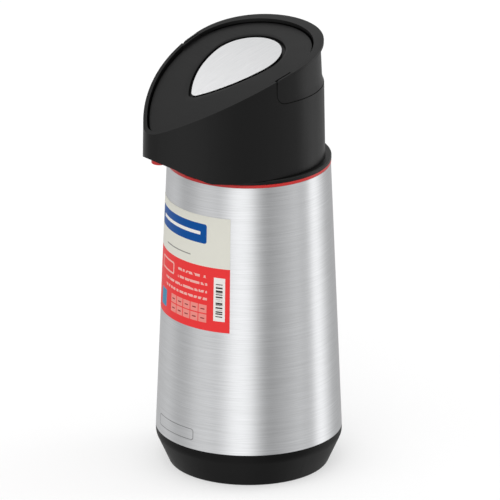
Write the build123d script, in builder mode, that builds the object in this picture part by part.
from build123d import *
from math import cos, hypot, pi, radians, sin, sqrt, tan
import os

# Pump pot: a 1.2 litre vacuum jug with an air pump in its head.
# Millimetres, +Z up. The origin is the centre of the base's underside, on the body's axis.
# The spout points to -Y and the carrying handle wraps round the back of the head, at +Y.
os.makedirs("parts", exist_ok=True)

# ---------------------------------------------------------------- driving dimensions
face_gap = 0.3              # between pieces that move past each other
fit_gap = 0.2               # between pieces that stay together
running_fit = 0.05          # radial, pin in its hole
head_reach = 120.0          # more than the head's height
side_reach = 80.0           # more than the head's half width
front_reach = 90.0          # more than the head reaches behind a cut

# body
foot_radius = 55.5
foot_round = 2.0
flare_round = 9.0
base_radius = 65.0
base_band_height = 5.0      # upright band above the flare
base_height = 26.0
base_wall = 2.4
foot_ring_width = 7.5
underside_recess = 2.0
shell_top = 221.0
shell_top_radius = 57.0
shell_wall = 0.6
spigot_height = 8.0
cap_radius = 23.6
cap_height = 9.0
cap_wall = 2.0
grip_place = 16.0           # two slots in the plug for a coin or fingers
grip_length = 9.0
grip_width = 4.0

# trim between the steel and the head
trim_height = 2.5
trim_radius = 57.3
trim_width = 3.3
trim_round = 0.5
collar_height = 2.7
collar_radius = 57.4
collar_round = 0.8

# vacuum refill
glass_radius = 54.5
glass_bottom = 16.0
glass_bottom_flat = 14.0
glass_bottom_rise = 28.0
glass_shoulder = shell_top - 45.0
glass_shoulder_rise = 21.0
glass_neck_radius = 27.0
glass_lip_top = shell_top - 14.0
glass_lip = 2.5
glass_wall = 1.6
vacuum_gap = 2.6
tip_radius = 3.0
tip_length = 6.0
spacer_z = glass_bottom + glass_bottom_rise + 8.0
spacer_length = 12.0
spacer_width = 7.0

# neck of the jug
neck_bore = 33.3
neck_wall = 2.7
neck_floor_bore = glass_neck_radius - 1.5
neck_floor = 2.5
neck_skirt_radius = 53.6
neck_skirt_depth = 9.0
gasket_height = 2.5
gasket_start = 1.5          # sleeve begins this far up the stopper

# label wrapped round the front of the steel
label_bottom = 115.0
label_top = 198.0
label_half_angle = 38.0
label_thickness = 0.15

# head: an outline of three tangent radii, (back radius, its y, nose radius, its y, side radius)
head_outline = (54.2, -1.5, 15.6, -74.7, 106.0)
head_draft = 0.9
head_wall = 2.6
head_lift_gap = 0.3
beak_start = 52.6           # how far in front of the axis the beak's underside leaves the collar
beak_slope = 29.7
crown_back = (52.0, shell_top + 91.1)  # points (y, z) on the curved top
crown_middle = (-20.0, shell_top + 75.1)
crown_tip = (-90.0, shell_top + 40.2)

# push plate
rim_outline = (49.5, -6.0, 12.0, -74.5, 97.0)
plate_gap = 1.35
plate_recess = 2.5
plate_thickness = 3.4
plate_skirt = 8.0
plate_skirt_wall = 1.6
skirt_front = -58.0         # no skirt in front of this, where the water pipe turns
badge_outline = (25.9, -4.1, 4.5, -45.5, 70.0)
badge_thickness = 0.7
badge_recess = 1.3
badge_margin = 1.6
hinge_y = -70.0
hinge_z = shell_top + 42.0
hinge_pin_radius = 1.5
plate_lug_x = 16.0
housing_lug_x = 20.5
lug_width = 3.0
lug_radius = 3.2
press_boss_radius = 5.0

# carrying handle
band_outer_radius = 53.1
band_bottom = shell_top + 59.0
band_wall = 1.6
band_flare_height = 4.0
band_flare_inset = 0.1
band_lean_inset = 0.4
band_flare_shift = 1.4      # the back of the band leans in by these two
band_lean_shift = 1.3
band_gap = 0.4
handle_front = -17.0
handle_corner = 7.0
handle_top_corner = 4.0
arm_slope = 0.312           # the arm's top line at its front
lip_thickness = 2.4
pivot_y = -10.0
pivot_z = shell_top + 72.5
pivot_radius = 3.0
cheek_wall = 1.5
cheek_play = 0.9            # from the band, which leans in as it swings
cheek_turn = 9.3            # radius of the raised eye round the pivot
cheek_back = 8.0
cheek_overlap = 3.0         # into the wall in front of the handle
cheek_bottom = shell_top + 45.0

# pump
base_plate_thickness = 2.4
stopper_radius = glass_neck_radius - 3.0
stopper_spigot_radius = glass_neck_radius - 8.0
stopper_wall = 3.0
stopper_bottom = shell_top - 23.0
thread_ring_radius = 31.0
thread_ring_wall = 3.0
thread_ring_height = 12.0
ridge_height = 0.9
ridge_width = 1.6
ridge_pitch = 4.0
bellows_y = 12.0
bellows_outer = 29.0
bellows_inner = 24.5
bellows_wall = 1.0
bellows_bottom = shell_top + 22.0
bellows_height = 40.0
bellows_folds = 5
seat_ring_radius = 27.0
seat_ring_wall = 2.5
seat_plate_thickness = 2.6
spring_radius = 10.0
spring_wire = 0.8
spring_turns = 6
cap_plate_radius = bellows_inner
cap_plate_thickness = 2.6
cap_hub_radius = 8.0
cap_hub_height = 4.0
press_gap = 0.5
air_hole_radius = 2.5
air_hole_x = 16.0
flap_radius = 4.3
flap_thickness = 0.8
flap_stem_radius = 1.5

# water path
dip_tube_radius = 4.2
dip_tube_bore = 3.2
dip_tube_bottom = 31.0
tube_notch_width = 2.4
tube_notch_height = 3.0
dip_tube_top = shell_top + 5.0
valve_radius = 7.5
valve_bottom = shell_top - 3.0
valve_seat_z = shell_top + 7.0
valve_chamber_top = shell_top + 17.0
valve_top = shell_top + 19.0
valve_chamber_radius = 4.4
seal_height = 2.0
seat_bore = 2.2
seat_thickness = 1.4
ball_radius = 3.2
pipe_radius = 4.0
pipe_bore = 3.0
pipe_z = shell_top + 13.0
pipe_knee_y = -38.0
pipe_top_z = shell_top + 41.5
pipe_end_z = shell_top + 22.5
pipe_knee_radius = 20.0
pipe_bend_radius = 5.8
nozzle_y = -80.0
nozzle_radius = 5.5
nozzle_bottom = shell_top + 16.7
nozzle_flange = 1.6
nozzle_round = 0.6
nozzle_flange_height = 1.5

# screws that hold the pump's base plate in the head
screw_places = ((46.0, -12.0), (-46.0, -12.0), (0.0, 46.2))
screw_radius = 1.4
screw_head_radius = 2.7
screw_head_height = 1.5
screw_length = 10.0
cross_width = 0.8
cross_length = 3.6
column_radius = 4.0
column_height = 13.0
rib_size = (4.8, 3.0)

# ---------------------------------------------------------------- sizes that follow
shell_slope = (base_radius - shell_top_radius) / (shell_top - base_height)
trim_top = shell_top + trim_height
collar_top = trim_top + collar_height
head_bottom = collar_top + head_lift_gap
neck_floor_top = glass_lip_top + gasket_height + neck_floor


def shell_radius(height):
    """Outer radius of the steel cone at a height."""
    return base_radius - shell_slope * (height - base_height)


def inset(outline, distance, shift=0.0):
    """The same three-radius outline, drawn inside by a distance and moved towards the nose."""
    back_radius, back_y, nose_radius, nose_y, side_radius = outline
    return (
        back_radius - distance,
        back_y - shift,
        nose_radius - distance,
        nose_y - shift,
        side_radius - distance,
    )


def teardrop(outline):
    """The closed outline as a sketch: round back, bowed sides and small nose, all tangent."""
    back_radius, back_y, nose_radius, nose_y, side_radius = outline
    length = back_y - nose_y
    to_back = side_radius - back_radius
    to_nose = side_radius - nose_radius
    along = (to_back**2 - to_nose**2 + length**2) / (2 * length)
    side_x = -sqrt(to_back**2 - along**2)
    side_y = back_y - along

    def on_side_arc(toward_x, toward_y):
        reach = hypot(toward_x - side_x, toward_y - side_y)
        x = side_x + side_radius * (toward_x - side_x) / reach
        y = side_y + side_radius * (toward_y - side_y) / reach
        return x, y

    back_x, back_join_y = on_side_arc(0, back_y)
    nose_x, nose_join_y = on_side_arc(0, nose_y)
    middle_x, middle_y = on_side_arc((back_x + nose_x) / 2, (back_join_y + nose_join_y) / 2)
    with BuildSketch() as shape:
        with BuildLine():
            ThreePointArc((back_x, back_join_y), (0, back_y + back_radius), (-back_x, back_join_y))
            ThreePointArc((-back_x, back_join_y), (-middle_x, middle_y), (-nose_x, nose_join_y))
            ThreePointArc((-nose_x, nose_join_y), (0, nose_y - nose_radius), (nose_x, nose_join_y))
            ThreePointArc((nose_x, nose_join_y), (middle_x, middle_y), (back_x, back_join_y))
        make_face()
    return shape.sketch


def prism(outline, bottom, height, taper=0.0):
    """An upright block on the outline, from a height upwards."""
    with BuildPart() as block:
        with BuildSketch(Plane.XY.offset(bottom)):
            add(teardrop(outline))
        extrude(amount=height, taper=taper)
    return block.part


def crown_height(y):
    """Height of the curved top above the line through the axis at a given y."""
    (y1, z1), (y2, z2), (y3, z3) = crown_back, crown_middle, crown_tip
    twist = 2 * (y1 * (z2 - z3) + y2 * (z3 - z1) + y3 * (z1 - z2))
    s1, s2, s3 = y1**2 + z1**2, y2**2 + z2**2, y3**2 + z3**2
    centre_y = (s1 * (z2 - z3) + s2 * (z3 - z1) + s3 * (z1 - z2)) / twist
    centre_z = (s1 * (y3 - y2) + s2 * (y1 - y3) + s3 * (y2 - y1)) / twist
    radius = hypot(y1 - centre_y, z1 - centre_z)
    return centre_z + sqrt(radius**2 - (y - centre_y) ** 2)


def side_block(bottom, drop=0.0, raise_beak=0.0):
    """The head's side view as a wide block: curved top, sloping beak underside, flat bottom."""
    back_y, back_z = crown_back[0], crown_back[1] - drop
    tip_y, tip_z = crown_tip[0], crown_tip[1] - drop
    clear = 12.0
    slope = tan(radians(beak_slope))
    beak_foot_y = -beak_start + (raise_beak - (bottom - head_bottom)) / slope
    front_y = tip_y - clear
    front_z = bottom + slope * (beak_foot_y - front_y)
    with BuildPart() as block:
        with BuildSketch(Plane.YZ):
            with BuildLine():
                ThreePointArc((back_y, back_z), (crown_middle[0], crown_middle[1] - drop), (tip_y, tip_z))
                Polyline(
                    (tip_y, tip_z), (front_y, tip_z - clear / 2), (front_y, front_z), (beak_foot_y, bottom),
                    (back_y + clear, bottom), (back_y + clear, back_z), (back_y, back_z),
                )
            make_face()
        extrude(amount=side_reach, both=True)
    return block.part


def below_crown(drop):
    """A wide block under the curved top, lowered by a drop, down to the base."""
    back_y, back_z = crown_back[0], crown_back[1] - drop
    tip_y, tip_z = crown_tip[0], crown_tip[1] - drop
    clear = 20.0
    with BuildPart() as block:
        with BuildSketch(Plane.YZ):
            with BuildLine():
                ThreePointArc((back_y, back_z), (crown_middle[0], crown_middle[1] - drop), (tip_y, tip_z))
                Polyline(
                    (tip_y, tip_z), (tip_y - clear, tip_z), (tip_y - clear, base_height),
                    (back_y + clear, base_height), (back_y + clear, back_z), (back_y, back_z),
                )
            make_face()
        extrude(amount=side_reach, both=True)
    return block.part


def cross_bar(y, z, radius, half_length):
    """A round bar across the head, for pins and their holes."""
    with BuildPart() as bar:
        with BuildSketch(Plane.YZ):
            with Locations((y, z)):
                Circle(radius)
        extrude(amount=half_length, both=True)
    return bar.part


def rings(builder, radius, height):
    """The round edges of a part that have a radius and lie at a height."""
    circles = builder.edges().filter_by(GeomType.CIRCLE)
    return circles.filter_by(lambda e: abs(e.radius - radius) < 0.01 and abs(e.center().Z - height) < 0.01)


def finish(part, name):
    """Label a piece and write it."""
    part.label = name
    export_step(part, f"parts/{name}.step")


# ================================================================ body
# Plastic foot of the jug: a flared cup with a foot ring and a spigot inside the steel.
flare_top = base_height - base_band_height
spigot_top = base_height + spigot_height
with BuildPart() as base_cup:
    with BuildSketch(Plane.XZ):
        with BuildLine():
            Polyline(
                (foot_radius - foot_ring_width, 0), (foot_radius, 0),
                (base_radius, flare_top), (base_radius, base_height),
                (shell_radius(base_height) - shell_wall - 2 * fit_gap, base_height),
                (shell_radius(spigot_top) - shell_wall - fit_gap, spigot_top),
                (base_radius - 2 * base_wall, spigot_top),
                (base_radius - 2 * base_wall, flare_top),
                (foot_radius - base_wall, underside_recess + base_wall),
                (cap_radius + fit_gap + cap_wall, underside_recess + base_wall),
                (cap_radius + fit_gap + cap_wall, cap_height),
                (cap_radius + fit_gap, cap_height),
                (cap_radius + fit_gap, underside_recess),
                (foot_radius - foot_ring_width, underside_recess),
                (foot_radius - foot_ring_width, 0),
            )
        make_face()
    revolve(axis=Axis.Z)
    fillet(rings(base_cup, base_radius, flare_top), flare_round)
    fillet(rings(base_cup, foot_radius, 0), foot_round)
finish(base_cup.part, "base_cup")

# Screw plug in the underside, which presses the refill up against its gasket.
with BuildPart() as bottom_cap:
    Cylinder(cap_radius, cap_height, align=(Align.CENTER, Align.CENTER, Align.MIN))
    with BuildSketch(Plane.XY.offset(base_wall)):
        Circle(cap_radius - cap_wall)
    extrude(amount=cap_height, mode=Mode.SUBTRACT)
    with BuildSketch(Plane.XY):
        with PolarLocations(grip_place, 2):
            SlotOverall(grip_length, grip_width, rotation=90)
    extrude(amount=base_wall / 2, mode=Mode.SUBTRACT)
finish(bottom_cap.part, "bottom_cap")

# Rubber cushion between the plug and the tip of the refill.
with BuildPart() as refill_cushion:
    with BuildSketch(Plane.XY.offset(base_wall)):
        Circle(cap_radius - cap_wall - fit_gap)
        Circle(tip_radius + 1.0, mode=Mode.SUBTRACT)
    extrude(amount=glass_bottom - base_wall)
    with BuildSketch(Plane.XY.offset(cap_height + 1.0)):
        Circle(cap_radius)
        Circle(glass_bottom_flat, mode=Mode.SUBTRACT)
    extrude(amount=glass_bottom - cap_height, mode=Mode.SUBTRACT)
finish(refill_cushion.part, "refill_cushion")


def bottle(depth, top):
    """The refill's bottle shape as a full solid, inside the outer surface by a depth."""
    radius = glass_radius - depth
    neck = glass_neck_radius - depth
    low = glass_bottom + depth
    bend = cos(pi / 4)
    lower = glass_bottom + glass_bottom_rise
    upper = glass_shoulder
    rise = glass_shoulder_rise - depth
    low_flat = glass_bottom_flat - depth / 2
    belly = (low_flat + (radius - low_flat) * bend, lower - (lower - low) * bend)
    shoulder = (neck + (radius - neck) * bend, upper + rise * bend)
    with BuildPart() as shape:
        with BuildSketch(Plane.XZ):
            with BuildLine():
                Line((0, low), (low_flat, low))
                ThreePointArc((low_flat, low), belly, (radius, lower))
                Line((radius, lower), (radius, upper))
                ThreePointArc((radius, upper), shoulder, (neck, upper + rise))
                Polyline((neck, upper + rise), (neck, top), (0, top), (0, low))
            make_face()
        revolve(axis=Axis.Z)
    return shape.part


# Double-walled glass refill: outer bottle with its sealed tip, inner bottle with the lip.
lip_bottom = glass_lip_top - glass_lip
with BuildPart() as outer_glass:
    add(bottle(0, lip_bottom))
    add(bottle(glass_wall, lip_bottom), mode=Mode.SUBTRACT)
    with BuildSketch(Plane.XY.offset(glass_bottom - tip_length)):
        Circle(tip_radius)
    extrude(amount=tip_length + glass_wall / 2)
finish(outer_glass.part, "outer_glass")

inner_depth = glass_wall + vacuum_gap
mouth_radius = glass_neck_radius - inner_depth - glass_wall
with BuildPart() as inner_glass:
    add(bottle(inner_depth, glass_lip_top))
    add(bottle(inner_depth + glass_wall, glass_lip_top), mode=Mode.SUBTRACT)
    with BuildSketch(Plane.XY.offset(lip_bottom)):
        Circle(glass_neck_radius)
        Circle(mouth_radius, mode=Mode.SUBTRACT)
    extrude(amount=glass_lip)
finish(inner_glass.part, "inner_glass")

# Three small pads keep the two bottles apart.
with BuildPart() as vacuum_spacers:
    with BuildSketch(Plane.XY.offset(spacer_z)):
        Circle(glass_radius - glass_wall - running_fit)
        Circle(glass_radius - inner_depth + running_fit, mode=Mode.SUBTRACT)
    extrude(amount=spacer_width)
    with BuildSketch(Plane.XY.offset(spacer_z)):
        with PolarLocations(glass_radius - inner_depth, 3):
            Rectangle(spacer_length, spacer_width)
    extrude(amount=spacer_width, mode=Mode.INTERSECT)
finish(vacuum_spacers.part, "vacuum_spacers")

# Brushed steel body, a plain cone between the base and the trim ring.
with BuildPart() as body_shell:
    with BuildSketch(Plane.XZ):
        with BuildLine():
            Polyline(
                (base_radius, base_height), (shell_top_radius, shell_top),
                (shell_top_radius - shell_wall, shell_top), (base_radius - shell_wall, base_height),
                (base_radius, base_height),
            )
        make_face()
    revolve(axis=Axis.Z)
finish(body_shell.part, "body_shell")

# Printed film wrapped round the front of the steel.
label_start = radians(label_half_angle)
label_plane = Plane(
    origin=(0, 0, 0),
    x_dir=(-sin(label_start), -cos(label_start), 0),
    z_dir=(-cos(label_start), sin(label_start), 0),
)
label_foot = shell_radius(label_bottom)
label_head = shell_radius(label_top)
with BuildPart() as label:
    with BuildSketch(label_plane):
        with BuildLine():
            Polyline(
                (label_foot, label_bottom), (label_foot + label_thickness, label_bottom),
                (label_head + label_thickness, label_top), (label_head, label_top),
                (label_foot, label_bottom),
            )
        make_face()
    revolve(axis=Axis.Z, revolution_arc=2 * label_half_angle)
finish(label.part, "label")

# Coloured ring that covers the steel's top edge.
with BuildPart() as trim_ring:
    with BuildSketch(Plane.XY.offset(shell_top)):
        Circle(trim_radius)
        Circle(trim_radius - trim_width, mode=Mode.SUBTRACT)
    extrude(amount=trim_height)
    fillet(rings(trim_ring, trim_radius, shell_top) + rings(trim_ring, trim_radius, trim_top), trim_round)
finish(trim_ring.part, "trim_ring")

# Neck collar: the flange under the head, and the threaded well that holds the refill's neck.
well_radius = neck_bore + neck_wall
neck_floor_bottom = neck_floor_top - neck_floor
with BuildPart() as neck_collar:
    with BuildSketch(Plane.XY.offset(trim_top)):
        Circle(collar_radius)
        Circle(neck_bore, mode=Mode.SUBTRACT)
    extrude(amount=collar_height)
    fillet(rings(neck_collar, collar_radius, collar_top), collar_round)
    with BuildSketch(Plane.XY.offset(trim_top - neck_skirt_depth)):
        Circle(neck_skirt_radius)
        Circle(neck_skirt_radius - base_wall, mode=Mode.SUBTRACT)
    extrude(amount=neck_skirt_depth)
    with BuildSketch(Plane.XY.offset(neck_floor_bottom)):
        Circle(well_radius)
        Circle(neck_bore, mode=Mode.SUBTRACT)
    extrude(amount=trim_top - neck_floor_bottom)
    with BuildSketch(Plane.XY.offset(neck_floor_bottom)):
        Circle(well_radius)
        Circle(neck_floor_bore, mode=Mode.SUBTRACT)
    extrude(amount=neck_floor)
    for turn in range(2):
        with BuildSketch(Plane.XY.offset(neck_floor_top + ridge_pitch / 2 + turn * ridge_pitch)):
            Circle(neck_bore)
            Circle(neck_bore - ridge_height, mode=Mode.SUBTRACT)
        extrude(amount=ridge_width)
finish(neck_collar.part, "neck_collar")

# Ring gasket between the refill's lip and the collar.
with BuildPart() as neck_gasket:
    with BuildSketch(Plane.XY.offset(glass_lip_top)):
        Circle(glass_neck_radius + 1.0)
        Circle(neck_floor_bore, mode=Mode.SUBTRACT)
    extrude(amount=gasket_height)
finish(neck_gasket.part, "neck_gasket")

# ================================================================ dip tube and its gasket
with BuildPart() as dip_tube:
    with BuildSketch(Plane.XY.offset(dip_tube_bottom)):
        Circle(dip_tube_radius)
        Circle(dip_tube_bore, mode=Mode.SUBTRACT)
    extrude(amount=dip_tube_top - dip_tube_bottom)
    with BuildSketch(Plane.XZ):
        with Locations((0, dip_tube_bottom)):
            Rectangle(tube_notch_width, 2 * tube_notch_height)
    extrude(amount=dip_tube_radius * 2, both=True, mode=Mode.SUBTRACT)
finish(dip_tube.part, "dip_tube")

# Stopper gasket: a sleeve in the refill's mouth with a flange that lies on the lip.
gasket_bore = stopper_spigot_radius + face_gap
with BuildPart() as stopper_gasket:
    with BuildSketch(Plane.XY.offset(stopper_bottom + gasket_start)):
        Circle(mouth_radius - face_gap)
        Circle(gasket_bore, mode=Mode.SUBTRACT)
    extrude(amount=glass_lip_top + face_gap - stopper_bottom - gasket_start)
    with BuildSketch(Plane.XY.offset(glass_lip_top + face_gap)):
        Circle(neck_floor_bore - 3 * face_gap)
        Circle(gasket_bore, mode=Mode.SUBTRACT)
    extrude(amount=gasket_height - 3 * face_gap)
finish(stopper_gasket.part, "stopper_gasket")
gasket_top = glass_lip_top + gasket_height - 2 * face_gap

# ================================================================ pump head
# Head housing: walls with a slight draft, curved top, sloping beak, open for the push plate.
inner_outline = inset(head_outline, head_wall)
cheek_outer = band_outer_radius - band_wall - band_gap - cheek_play
cheek_outline = inset(head_outline, head_outline[0] - cheek_outer, band_flare_shift + band_lean_shift)
cheek_inside = inset(cheek_outline, cheek_wall)
ledge_z = band_bottom - band_gap
wall_reach = crown_back[1] - head_bottom + 5
floor_rise = head_wall / cos(radians(beak_slope))

# The nozzle's flange sits on the floor's highest point round its hole.
beak_rise = tan(radians(beak_slope)) * (nozzle_radius + nozzle_flange - nozzle_y - beak_start)
nozzle_seat = head_bottom + beak_rise + floor_rise + fit_gap
nozzle_top = nozzle_seat + nozzle_flange_height

# Round eyes at the pivots, flush with the crown, which the handle's lip turns about.
with BuildPart() as pivot_eyes:
    with BuildSketch(Plane.XY.offset(cheek_bottom)):
        add(teardrop(cheek_outline))
        add(teardrop(inset(rim_outline, face_gap)), mode=Mode.SUBTRACT)
    extrude(amount=head_reach)
    add(cross_bar(pivot_y, pivot_z, cheek_turn, side_reach), mode=Mode.INTERSECT)
    add(below_crown(0), mode=Mode.INTERSECT)

# Cheeks inside the back of the head, which carry the handle's pivots.
with BuildPart() as cheeks:
    with BuildSketch(Plane.XY.offset(cheek_bottom)):
        add(teardrop(cheek_outline))
        add(teardrop(cheek_inside), mode=Mode.SUBTRACT)
    extrude(amount=head_reach)
    with BuildSketch(Plane.XY.offset(cheek_bottom)):
        add(teardrop(inset(head_outline, head_wall * 0.75)))
        add(teardrop(cheek_inside), mode=Mode.SUBTRACT)
    extrude(amount=ledge_z - cheek_bottom)
    with BuildSketch(Plane.YZ):
        with Locations((handle_front - cheek_overlap, cheek_bottom)):
            Rectangle(cheek_back - handle_front + cheek_overlap, head_reach, align=(Align.MIN, Align.MIN))
    extrude(amount=side_reach, both=True, mode=Mode.INTERSECT)
    add(below_crown(lip_thickness + band_gap), mode=Mode.INTERSECT)
    add(pivot_eyes.part)
    add(cross_bar(pivot_y, pivot_z, pivot_radius + running_fit, side_reach), mode=Mode.SUBTRACT)

# Lugs for the push plate's hinge pin, standing on the beak's floor.
with BuildPart() as housing_lugs:
    for side in (-1, 1):
        with BuildSketch(Plane.YZ.offset(side * housing_lug_x - lug_width / 2)):
            with Locations((hinge_y, hinge_z)):
                Circle(lug_radius)
                Rectangle(2 * lug_radius, side_reach, align=(Align.CENTER, Align.MAX))
        extrude(amount=lug_width)
    add(side_block(head_bottom, raise_beak=head_wall / 2), mode=Mode.INTERSECT)
    add(cross_bar(hinge_y, hinge_z, hinge_pin_radius, side_reach), mode=Mode.SUBTRACT)

# The room inside the head, open at the top and the bottom.
with BuildPart() as head_room:
    add(prism(inner_outline, head_bottom, wall_reach, head_draft))
    add(side_block(head_bottom, drop=-20, raise_beak=floor_rise), mode=Mode.INTERSECT)

with BuildPart() as head_housing:
    add(prism(head_outline, head_bottom, wall_reach, head_draft))
    add(side_block(head_bottom), mode=Mode.INTERSECT)
    add(head_room.part, mode=Mode.SUBTRACT)
    # the handle's place round the back
    with BuildSketch(Plane.YZ):
        with Locations((handle_front - band_gap, ledge_z)):
            Rectangle(front_reach, head_reach, align=(Align.MIN, Align.MIN))
    extrude(amount=side_reach, both=True, mode=Mode.SUBTRACT)
    add(cheeks.part)
    add(housing_lugs.part)
    # screw columns with a rib to the wall
    with BuildSketch(Plane.XY.offset(head_bottom + base_plate_thickness + 2 * fit_gap)):
        with Locations(*screw_places):
            Circle(column_radius)
        for x, y in screw_places:
            rib_scale = 1 + column_radius / hypot(x, y)
            with Locations((rib_scale * x, rib_scale * y)):
                Rectangle(*(rib_size if x else reversed(rib_size)))
    extrude(amount=column_height)
    with BuildSketch(Plane.XY.offset(head_bottom)):
        with Locations(*screw_places):
            Circle(screw_radius)
    extrude(amount=screw_length + base_plate_thickness, mode=Mode.SUBTRACT)
    with BuildSketch(Plane.XY.offset(nozzle_bottom)):
        with Locations((0, nozzle_y)):
            Circle(nozzle_radius + fit_gap)
    extrude(amount=nozzle_seat - nozzle_bottom, mode=Mode.SUBTRACT)
finish(head_housing.part, "head_housing")

# Base plate of the pump: closes the head, carries the stopper and the bellows' seat.
plate_bottom = head_bottom + fit_gap
plate_top = plate_bottom + base_plate_thickness
seat_bottom = bellows_bottom - seat_plate_thickness
base_outline = inset(inner_outline, fit_gap)
passage = pipe_radius + fit_gap
with BuildPart() as pump_base:
    with BuildSketch(Plane.XY.offset(plate_bottom)):
        add(teardrop(base_outline))
        with Locations((0, -beak_start + head_wall / sin(radians(beak_slope)) + fit_gap)):
            Rectangle(2 * side_reach, side_reach, align=(Align.CENTER, Align.MAX), mode=Mode.SUBTRACT)
    extrude(amount=base_plate_thickness)
    with BuildSketch(Plane.XY.offset(gasket_top + face_gap)):
        Circle(stopper_radius)
    extrude(amount=plate_bottom - gasket_top - face_gap)
    with BuildSketch(Plane.XY.offset(stopper_bottom)):
        Circle(stopper_spigot_radius)
    extrude(amount=gasket_top + face_gap - stopper_bottom)
    with BuildSketch(Plane.XY.offset(stopper_bottom + stopper_wall)):
        Circle(stopper_spigot_radius - stopper_wall)
    extrude(amount=plate_bottom - stopper_bottom - stopper_wall, mode=Mode.SUBTRACT)
    with Locations((0, 0, stopper_bottom)):
        Cylinder(
            dip_tube_radius + face_gap, 4 * stopper_wall, mode=Mode.SUBTRACT,
        )
    with Locations((0, 0, plate_bottom)):
        Cylinder(valve_radius + fit_gap, 4 * base_plate_thickness, mode=Mode.SUBTRACT)
    with BuildSketch(Plane.XY.offset(plate_top)):
        with Locations((0, bellows_y)):
            Circle(seat_ring_radius)
            Circle(seat_ring_radius - seat_ring_wall, mode=Mode.SUBTRACT)
    extrude(amount=seat_bottom - plate_top)
    with BuildSketch(Plane.XY.offset(seat_bottom)):
        with Locations((0, bellows_y)):
            Circle(bellows_outer + fit_gap)
            Circle(air_hole_radius, mode=Mode.SUBTRACT)
    extrude(amount=seat_plate_thickness)
    # passage for the water pipe and air holes through the stopper's floor
    with BuildSketch(Plane.XZ):
        with Locations((0, plate_top)):
            Rectangle(2 * passage, pipe_z + passage - plate_top, align=(Align.CENTER, Align.MIN))
    extrude(amount=front_reach, mode=Mode.SUBTRACT)
    with BuildSketch(Plane.XY.offset(stopper_bottom)):
        with PolarLocations((stopper_spigot_radius - stopper_wall + dip_tube_radius) / 2, 4, start_angle=45):
            Circle(air_hole_radius)
    extrude(amount=stopper_wall, mode=Mode.SUBTRACT)
    with Locations(*[(x, y, plate_bottom) for x, y in screw_places]):
        Cylinder(screw_radius + fit_gap, 4 * base_plate_thickness, mode=Mode.SUBTRACT)
        Cylinder(
            screw_head_radius + fit_gap, screw_head_height, mode=Mode.SUBTRACT,
            align=(Align.CENTER, Align.CENTER, Align.MIN),
        )
finish(pump_base.part, "pump_base")

# Threaded ring under the base plate, which screws the head into the neck.
with BuildPart() as thread_ring:
    with BuildSketch(Plane.XY.offset(plate_bottom - thread_ring_height)):
        Circle(thread_ring_radius)
        Circle(thread_ring_radius - thread_ring_wall, mode=Mode.SUBTRACT)
    extrude(amount=thread_ring_height)
    for turn in range(2):
        with BuildSketch(Plane.XY.offset(neck_floor_top + ridge_pitch + turn * ridge_pitch)):
            Circle(thread_ring_radius + ridge_height)
            Circle(thread_ring_radius - thread_ring_wall / 2, mode=Mode.SUBTRACT)
        extrude(amount=ridge_width)
finish(thread_ring.part, "thread_ring")

# Three screws from below.
with BuildPart() as base_screws:
    with Locations(*[(x, y, plate_bottom) for x, y in screw_places]):
        Cylinder(screw_head_radius, screw_head_height, align=(Align.CENTER, Align.CENTER, Align.MIN))
        Cylinder(screw_radius, screw_length, align=(Align.CENTER, Align.CENTER, Align.MIN))
        Box(cross_width, cross_length, screw_head_height, mode=Mode.SUBTRACT)
        Box(cross_length, cross_width, screw_head_height, mode=Mode.SUBTRACT)
finish(base_screws.part, "base_screws")

ball_seat = valve_seat_z + seat_thickness
# Valve body on the axis: socket for the dip tube, ball seat, chamber and side outlet.
with BuildPart() as valve_body:
    with BuildSketch(Plane.XZ):
        with BuildLine():
            Polyline(
                (dip_tube_radius + face_gap, valve_bottom), (valve_radius, valve_bottom),
                (valve_radius, valve_top), (0, valve_top), (0, valve_chamber_top),
                (valve_chamber_radius, valve_chamber_top), (valve_chamber_radius, ball_seat),
                (seat_bore, ball_seat), (seat_bore, valve_seat_z),
                (dip_tube_radius + face_gap, valve_seat_z), (dip_tube_radius + face_gap, valve_bottom),
            )
        make_face()
    revolve(axis=Axis.Z)
    with BuildSketch(Plane.XZ.offset(valve_chamber_radius / 2)):
        with Locations((0, pipe_z)):
            Circle(pipe_bore)
    extrude(amount=valve_radius, mode=Mode.SUBTRACT)
finish(valve_body.part, "valve_body")

# Ring seal under the valve body, round the dip tube.
with BuildPart() as tube_seal:
    with BuildSketch(Plane.XY.offset(valve_bottom - seal_height)):
        Circle(valve_radius)
        Circle(dip_tube_radius + face_gap, mode=Mode.SUBTRACT)
    extrude(amount=seal_height)
finish(tube_seal.part, "tube_seal")

# Loose ball that stops water leaving when the pot tips over.
with BuildPart() as check_ball:
    with Locations((0, 0, ball_seat + sqrt(ball_radius**2 - seat_bore**2) + running_fit)):
        Sphere(ball_radius)
finish(check_ball.part, "check_ball")

# Water pipe from the valve under the bellows, up into the beak and down to the nozzle.
pipe_start_y = -valve_radius + fit_gap
with BuildPart() as outlet_pipe:
    with BuildLine(Plane.YZ) as pipe_route:
        FilletPolyline(
            (pipe_start_y, pipe_z), (pipe_knee_y, pipe_z), (nozzle_y, pipe_top_z), (nozzle_y, pipe_end_z),
            radius=[pipe_knee_radius, pipe_bend_radius],
        )
    with BuildSketch(Plane(pipe_route.line @ 0, z_dir=pipe_route.line % 0)):
        Circle(pipe_radius)
        Circle(pipe_bore, mode=Mode.SUBTRACT)
    sweep()
    with Locations((0, 0, pipe_z)):
        Cylinder(valve_radius, 4 * pipe_radius, mode=Mode.SUBTRACT)
finish(outlet_pipe.part, "outlet_pipe")

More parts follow.
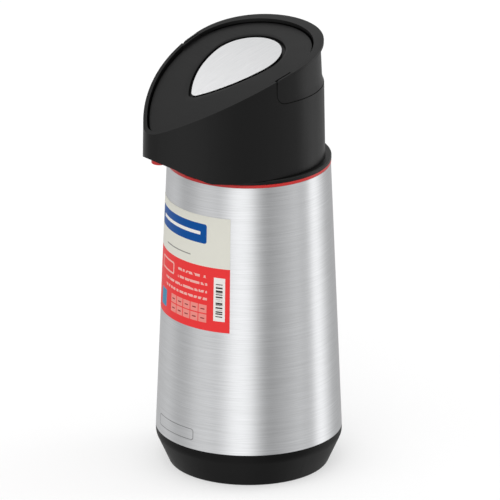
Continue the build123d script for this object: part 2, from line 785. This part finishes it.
# Coloured nozzle through the beak's underside.
with BuildPart() as spout_nozzle:
    with BuildSketch(Plane.XY.offset(nozzle_bottom)):
        with Locations((0, nozzle_y)):
            Circle(nozzle_radius)
    extrude(amount=nozzle_top - nozzle_bottom)
    with BuildSketch(Plane.XY.offset(nozzle_seat)):
        with Locations((0, nozzle_y)):
            Circle(nozzle_radius + nozzle_flange)
    extrude(amount=nozzle_top - nozzle_seat)
    fillet(rings(spout_nozzle, nozzle_radius, nozzle_bottom), nozzle_round)
    with BuildSketch(Plane.XY.offset(nozzle_bottom)):
        with Locations((0, nozzle_y)):
            Circle(pipe_bore)
    extrude(amount=nozzle_top - nozzle_bottom, mode=Mode.SUBTRACT)
    with BuildSketch(Plane.XY.offset(pipe_end_z - fit_gap)):
        with Locations((0, nozzle_y)):
            Circle(pipe_radius + fit_gap)
    extrude(amount=nozzle_top - pipe_end_z + fit_gap, mode=Mode.SUBTRACT)
finish(spout_nozzle.part, "spout_nozzle")

# Rubber bellows: a closed wall folded in equal zigzags, with a foot and a top flange.
fold = bellows_height / bellows_folds
outer_points = []
inner_points = []
for count in range(bellows_folds):
    low = bellows_bottom + count * fold
    outer_points += [(bellows_inner, low), (bellows_outer, low + fold / 2)]
    inner_points += [(bellows_inner - bellows_wall, low), (bellows_outer - bellows_wall, low + fold / 2)]
bellows_top = bellows_bottom + bellows_height
outer_points.append((bellows_inner, bellows_top))
inner_points.append((bellows_inner - bellows_wall, bellows_top))
with BuildPart() as bellows:
    with BuildSketch(Plane.XZ):
        with BuildLine():
            Polyline(*outer_points, *reversed(inner_points), outer_points[0])
        make_face()
    revolve(axis=Axis.Z)
bellows_part = Pos(0, bellows_y, 0) * bellows.part
finish(bellows_part, "bellows")

# Return spring inside the bellows.
with BuildPart() as bellows_spring:
    with BuildLine() as coil:
        Helix(
            pitch=(bellows_height - 2 * spring_wire - fit_gap) / spring_turns,
            height=bellows_height - 2 * spring_wire - fit_gap,
            radius=spring_radius,
            center=(0, bellows_y, bellows_bottom + spring_wire),
        )
    with BuildSketch(Plane(coil.line @ 0, z_dir=coil.line % 0)):
        Circle(spring_wire)
    sweep(is_frenet=True)
finish(bellows_spring.part, "bellows_spring")

# Hinge pin of the push plate.
with BuildPart() as hinge_pin:
    with BuildSketch(Plane.YZ.offset(-housing_lug_x - lug_width / 2)):
        with Locations((hinge_y, hinge_z)):
            Circle(hinge_pin_radius)
    extrude(amount=2 * housing_lug_x + lug_width)
finish(hinge_pin.part, "hinge_pin")

# ================================================================ plunger
with BuildPart() as bellows_cap:
    with Locations((0, bellows_y, bellows_top)):
        Cylinder(cap_plate_radius, cap_plate_thickness, align=(Align.CENTER, Align.CENTER, Align.MIN))
        Cylinder(
            cap_hub_radius, cap_plate_thickness + cap_hub_height,
            align=(Align.CENTER, Align.CENTER, Align.MIN),
        )
    with Locations((air_hole_x, bellows_y, bellows_top)):
        Cylinder(air_hole_radius, 4 * cap_plate_thickness, mode=Mode.SUBTRACT)
finish(bellows_cap.part, "bellows_cap")

# Rubber flap over the cap's air hole, which lets air back in.
with BuildPart() as air_valve:
    with Locations((air_hole_x, bellows_y, bellows_top)):
        Cylinder(flap_radius, flap_thickness, align=(Align.CENTER, Align.CENTER, Align.MAX))
        Cylinder(flap_stem_radius, cap_plate_thickness, align=(Align.CENTER, Align.CENTER, Align.MIN))
finish(air_valve.part, "air_valve")

# ================================================================ push plate
plate_outline = inset(rim_outline, plate_gap)
badge_floor = plate_recess + badge_recess
press_boss_bottom = bellows_top + cap_plate_thickness + cap_hub_height + press_gap
plate_underside = plate_recess + plate_thickness

# Everything under the plate that is not skirt.
with BuildPart() as plate_hollow:
    add(below_crown(plate_underside))
    with BuildSketch(Plane.XY.offset(head_bottom)):
        add(teardrop(plate_outline))
        add(teardrop(inset(plate_outline, plate_skirt_wall)), mode=Mode.SUBTRACT)
        with Locations((0, skirt_front)):
            Rectangle(2 * side_reach, side_reach, align=(Align.CENTER, Align.MAX), mode=Mode.SUBTRACT)
    extrude(amount=head_reach, mode=Mode.SUBTRACT)
    add(below_crown(plate_recess + plate_skirt))

# Recess for the badge.
with BuildPart() as badge_pocket:
    add(prism(inset(badge_outline, -badge_margin), head_bottom, head_reach))
    add(below_crown(badge_floor), mode=Mode.SUBTRACT)

# Boss over the plunger and the two hinge lugs.
with BuildPart() as plate_lugs:
    for side in (-1, 1):
        with BuildSketch(Plane.YZ.offset(side * plate_lug_x - lug_width / 2)):
            with Locations((hinge_y, hinge_z)):
                Circle(lug_radius)
                Rectangle(2 * lug_radius, side_reach, align=(Align.CENTER, Align.MIN))
        extrude(amount=lug_width)
    add(cross_bar(hinge_y, hinge_z, hinge_pin_radius + running_fit, side_reach), mode=Mode.SUBTRACT)
    with BuildSketch(Plane.XY.offset(press_boss_bottom)):
        with Locations((0, bellows_y)):
            Circle(press_boss_radius)
    extrude(amount=head_reach)
    add(below_crown(plate_underside - plate_thickness / 3), mode=Mode.INTERSECT)

with BuildPart() as push_plate:
    add(prism(plate_outline, head_bottom, head_reach))
    add(below_crown(plate_recess), mode=Mode.INTERSECT)
    add(plate_hollow.part, mode=Mode.SUBTRACT)
    add(badge_pocket.part, mode=Mode.SUBTRACT)
    add(plate_lugs.part)
finish(push_plate.part, "push_plate")

# Steel badge let into the plate.
with BuildPart() as badge:
    add(prism(badge_outline, head_bottom, head_reach))
    add(below_crown(badge_floor - badge_thickness - running_fit), mode=Mode.INTERSECT)
    add(below_crown(badge_floor - running_fit), mode=Mode.SUBTRACT)
finish(badge.part, "badge")

# ================================================================ carrying handle
band_low = inset(head_outline, head_outline[0] - band_outer_radius)
band_levels = (
    (band_bottom, band_low),
    (band_bottom + band_flare_height, inset(band_low, band_flare_inset, band_flare_shift)),
    (crown_back[1] + 1, inset(band_low, band_lean_inset, band_flare_shift + band_lean_shift)),
)


def band_block(depth):
    """The band's leaning shape as a full block, inside its outer surface by a depth."""
    with BuildPart() as block:
        for (low_z, low_outline), (high_z, high_outline) in zip(band_levels, band_levels[1:]):
            with BuildSketch(Plane.XY.offset(low_z)):
                add(teardrop(inset(low_outline, depth)))
            with BuildSketch(Plane.XY.offset(high_z)):
                add(teardrop(inset(high_outline, depth)))
            loft(ruled=True)
    return block.part


# Top lip of the handle, which follows the crown.
with BuildPart() as handle_lip:
    with BuildSketch(Plane.XY.offset(band_bottom)):
        add(teardrop(band_low))
        add(teardrop(rim_outline), mode=Mode.SUBTRACT)
    extrude(amount=head_reach)
    add(below_crown(lip_thickness), mode=Mode.SUBTRACT)
    add(cross_bar(pivot_y, pivot_z, cheek_turn + band_gap, side_reach), mode=Mode.SUBTRACT)

# Stubs inside the arms, which snap into the cheeks' holes.
with BuildPart() as pivot_stubs:
    add(cross_bar(pivot_y, pivot_z, pivot_radius, band_outer_radius - band_wall / 2))
    add(cross_bar(pivot_y, pivot_z, pivot_radius + 1, cheek_outer - cheek_wall), mode=Mode.SUBTRACT)

# Side view of the band: arms end in front of the pivots with rounded corners.
front_top = crown_height(handle_front)
side_top = front_top + (head_reach - handle_front) * arm_slope
with BuildPart() as handle_side:
    with BuildSketch(Plane.YZ):
        with BuildLine():
            FilletPolyline(
                (head_reach, side_top), (handle_front, front_top),
                (handle_front, band_bottom), (head_reach, band_bottom),
                radius=[handle_top_corner, handle_corner],
            )
            Line((head_reach, band_bottom), (head_reach, side_top))
        make_face()
    extrude(amount=side_reach, both=True)

with BuildPart() as handle:
    add(band_block(0))
    add(band_block(band_wall), mode=Mode.SUBTRACT)
    add(handle_lip.part)
    add(below_crown(0), mode=Mode.INTERSECT)
    add(handle_side.part, mode=Mode.INTERSECT)
    add(pivot_stubs.part)
finish(handle.part, "handle")
